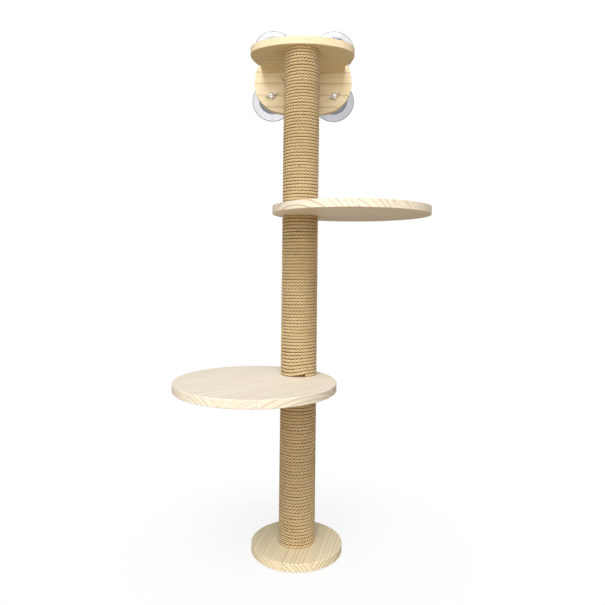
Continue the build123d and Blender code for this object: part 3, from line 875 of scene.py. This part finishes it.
def fit_cups_and_nuts():
    """Four suction cups with their studs and wing nuts, each modelled once."""
    cup = turned("cup_pattern", CUP_OUTLINE, 96)
    from_axis = [math.hypot(point.co.x, point.co.y) * 1000 for point in cup.data.vertices]
    # The thick mark holds painted darkness rather than thickness: painted shade in a ring, and a
    # painted outline at the lip
    marked(cup.data, "thick", np.interp(from_axis, *CUP_SHADES))
    smoothed(cup, 50)
    stud = turned("stud_pattern", stud_outline(), 32)
    smoothed(stud, 40)
    nut = wing_nut_pattern()
    for name, (x, z) in CUPS.items():
        soft = copied(cup, "clear_cup_" + name)
        seated(soft, (x, BOARD_BACK, z), (-math.pi / 2, 0, 0))
        finished(soft, pvc, "frame", "clear_pvc", "suction_cup_" + name)
        # Each cup's painted darkness is raised to its least value
        for value in soft.data.attributes["thick"].data:
            value.value = max(value.value, CUP_LEAST_DARKNESS[name])
        rod = copied(stud, "threaded_stud_" + name)
        seated(rod, (x, BOARD_BACK, z), (-math.pi / 2, 0, 0))
        finished(rod, zinc, "frame", "zinc_steel", "cup_stud_" + name)
        wings = copied(nut, "cast_wing_nut_" + name)
        seated(wings, (0, 0, 0), (0, 0, WING_LEAN))
        seated(wings, (x, BOARD_FRONT - WASHER_THICK, z), (math.pi / 2, 0, 0))
        finished(wings, nickel, "wing_nut_" + name, "nickel_plate", "wing_nut_" + name)
    for pattern in (cup, stud, nut):
        thrown_away(pattern)


def fit_board_screws():
    pattern = screw_pattern()
    screws = []
    for place in SCREW_PLACES:
        screw = copied(pattern, "board_screws")
        seated(screw, (place, BOARD_BACK, PLATFORM_MIDDLE), (-math.pi / 2, 0, 0))
        screws.append(screw)
    finished(joined(screws), zinc, "frame", "zinc_steel", "platform_screws")
    thrown_away(pattern)


# Fibres in metres: the radius of a thin and of a thick one, and the length of a step along one
THIN_FIBRE = 0.00016
THICK_FIBRE = 0.0006
FIBRE_STEP = 0.0014
FIBRE_STEPS = 7
FIBRE_TAPER = 0.84
FIBRES_PER_SECTION = 60
FIBRE_MARGIN = 0.012
ROPE_FACE = 0.0354
# The frayed tufts: degrees round the post, height, length, how far they rise and turn aside
TUFTS = [
    (181, 0.9185, 1.6, 0.85, 0.0), (183, 0.9200, 1.3, 0.65, 0.25), (-128, 0.3885, 1.1, 0.5, -1.2),
    (-132, 0.3900, 0.9, 0.2, 1.2), (-118, 0.0516, 1.0, 0.3, -1.2), (-106, 0.0530, 0.8, 0.1, 1.2),
    (-62, 0.8060, 0.8, 0.3, 1.2), (-96, 0.7450, 0.7, 0.1, 1.2), (-40, 0.4700, 0.8, 0.2, -1.2),
    (-140, 0.5600, 0.7, 0.2, 1.2),
]


def one_fibre(name, radius):
    """A curled fibre that starts at the origin and runs off along +X, rising and thinning out."""
    nothing_selected()
    bpy.ops.mesh.primitive_circle_add(vertices=3, radius=radius, rotation=(0, math.pi / 2, 0))
    fibre = bpy.context.object
    fibre.name = name
    apply_transform()
    editing(fibre)
    end = Vector((0, 0, 0))
    for step in range(FIBRE_STEPS):
        move = Vector((FIBRE_STEP, 0.0002 * math.sin(step * 1.3), 0.00005 + 0.00011 * step))
        bpy.ops.mesh.extrude_region_move(TRANSFORM_OT_translate={"value": move})
        end += move
        bpy.ops.transform.resize(value=(FIBRE_TAPER,) * 3, center_override=end)
    bpy.ops.mesh.select_all(action="SELECT")
    bpy.ops.mesh.fill_holes(sides=0)
    bpy.ops.mesh.normals_make_consistent(inside=False)
    bpy.ops.object.mode_set(mode="OBJECT")
    smoothed(fibre, 80)
    return fibre


def loose_fibres(name, thin, thick, low, high, seed):
    """Short fibres and frayed tufts that stand off one section's rope."""
    luck = np.random.RandomState(seed)
    wanted = [(thick, *place) for place in TUFTS if low < place[1] < high]
    for _ in range(FIBRES_PER_SECTION):
        degrees = luck.uniform(0, 360)
        height = luck.uniform(low + FIBRE_MARGIN, high - FIBRE_MARGIN)
        long = luck.uniform(0.35, 0.7)
        rise, aside = luck.uniform(0.0, 0.35), luck.choice([-1.2, 1.2])
        wanted.append((thin, degrees, height, long, rise, aside))
    fibres = []
    for pattern, degrees, height, long, rise, aside in wanted:
        fibre = copied(pattern, name)
        round_post = math.radians(degrees)
        only(fibre)
        fibre.scale = (long, long, long)
        fibre.rotation_euler = (0, -rise, round_post + aside)
        across, back = math.cos(round_post), math.sin(round_post)
        fibre.location = (ROPE_FACE * across, ROPE_FACE * back, height)
        apply_transform()
        fibres.append(fibre)
    finished(joined(fibres), stray_finish, "frame", "jute_rope")


fit_cups_and_nuts()
fit_board_screws()
thin_fibre = one_fibre("thin_fibre_pattern", THIN_FIBRE)
thick_fibre = one_fibre("thick_fibre_pattern", THICK_FIBRE)
loose_fibres("lower_loose_fibres", thin_fibre, thick_fibre, 0.017, 0.327, 21)
loose_fibres("middle_loose_fibres", thin_fibre, thick_fibre, 0.342, 0.652, 22)
loose_fibres("upper_loose_fibres", thin_fibre, thick_fibre, 0.667, 0.977, 23)
thrown_away(thin_fibre)
thrown_away(thick_fibre)


# The floor's tone in the light it throws back, and as the camera sees it
FLOOR_WARMTH = (0.40, 0.30, 0.18, 1)
FLOOR_SEEN = (0.97, 0.97, 0.97, 1)
FLOOR_SIZE = 40
FLOOR_HEIGHT = -0.0005
FILL_LIGHT = 0.19
WHITE = (1, 1, 1, 1)


def seen_directly(tree):
    """1 for rays from the camera, off a mirror or through clear plastic, and 0 for all others."""
    ray = tree.nodes.new("ShaderNodeLightPath").outputs
    shown = maths(tree, "MAXIMUM", ray["Is Camera Ray"], ray["Is Glossy Ray"])
    return maths(tree, "MAXIMUM", shown, ray["Is Transmission Ray"])


def lay_floor():
    """A wide pale floor that takes the object's shadow and turns plain white away from it."""
    nothing_selected()
    bpy.ops.mesh.primitive_plane_add(size=FLOOR_SIZE, location=(0, 0, FLOOR_HEIGHT))
    floor = bpy.context.object
    floor.name = "studio_floor"
    material, tree, shader = new_material("studio_floor", roughness=0.9, specular_ior_level=0.0)
    shown = seen_directly(tree)
    tree.links.new(tinted(tree, shown, FLOOR_WARMTH, FLOOR_SEEN), shader.inputs["Base Color"])
    inputs = {0: own_place(tree)}
    away = add(tree, "ShaderNodeVectorMath", inputs, operation="LENGTH").outputs["Value"]
    glow = add(tree, "ShaderNodeEmission", {"Color": WHITE, "Strength": 1.0})
    plain = times(tree, shown, between(tree, away, 0.12, 0.42, 0.86, 1.0))
    inputs = {0: plain, 1: shader.outputs[0], 2: glow.outputs[0]}
    mix = add(tree, "ShaderNodeMixShader", inputs)
    tree.links.new(mix.outputs[0], tree.nodes["Material Output"].inputs["Surface"])
    floor.data.materials.append(material)


def surround():
    """White where it is seen, and a weak fill light where it isn't."""
    world = bpy.data.worlds.new("studio")
    scene.world = world
    world.use_nodes = True
    tree = world.node_tree
    tree.nodes.clear()
    fill = add(tree, "ShaderNodeBackground", {"Color": WHITE, "Strength": FILL_LIGHT})
    white = add(tree, "ShaderNodeBackground", {"Color": WHITE, "Strength": 1.0})
    inputs = {0: seen_directly(tree), 1: fill.outputs[0], 2: white.outputs[0]}
    mix = add(tree, "ShaderNodeMixShader", inputs)
    add(tree, "ShaderNodeOutputWorld", {"Surface": mix.outputs[0]})


def softbox(name, place, aim, size, watts):
    """A square lamp at a place, turned towards the point it aims at."""
    lamp = bpy.data.lights.new(name, "AREA")
    lamp.shape = "SQUARE"
    lamp.size = size
    lamp.energy = watts
    holder = bpy.data.objects.new(name, lamp)
    holder.location = place
    holder.rotation_mode = "QUATERNION"
    holder.rotation_quaternion = (Vector(aim) - Vector(place)).to_track_quat("-Z", "Y")
    scene.collection.objects.link(holder)


# Found by fitting the camera and the object's outlines to the photograph
FOCAL_SHARE = 553.486 / 605
CAMERA_PLACE = (0.02420, -1.08917, 0.55434)
CAMERA_YAW = 0.01727
CAMERA_PITCH = 0.00993
CAMERA_ROLL = 0.0117
PICTURE_MIDDLE_DOWN = 260.385 / 605
SENSOR_WIDTH = 36


def photograph_camera():
    """The camera where the photograph was taken from."""
    yaw, pitch, roll = CAMERA_YAW, CAMERA_PITCH, CAMERA_ROLL
    level_right = Vector((math.cos(yaw), math.sin(yaw), 0))
    level_ahead = Vector((-math.sin(yaw), math.cos(yaw), 0))
    plumb = Vector((0, 0, 1))
    ahead = level_ahead * math.cos(pitch) + plumb * math.sin(pitch)
    over = plumb * math.cos(pitch) - level_ahead * math.sin(pitch)
    right = level_right * math.cos(roll) + over * math.sin(roll)
    up = over * math.cos(roll) - level_right * math.sin(roll)
    data = bpy.data.cameras.new("photograph")
    data.sensor_width = SENSOR_WIDTH
    data.lens = SENSOR_WIDTH * FOCAL_SHARE
    data.shift_y = PICTURE_MIDDLE_DOWN - 0.5
    camera = bpy.data.objects.new("photograph", data)
    turn = Matrix((right, up, -ahead)).transposed()
    camera.matrix_world = Matrix.Translation(CAMERA_PLACE) @ turn.to_4x4()
    scene.collection.objects.link(camera)
    scene.camera = camera


lay_floor()
surround()
softbox("high_softbox", (-0.6, -3.6, 5.7), (0, 0, 0.45), 3.4, 296)
softbox("low_front_softbox", (-0.3, -4.7, 1.5), (0, 0, 0.35), 2.8, 136)
photograph_camera()
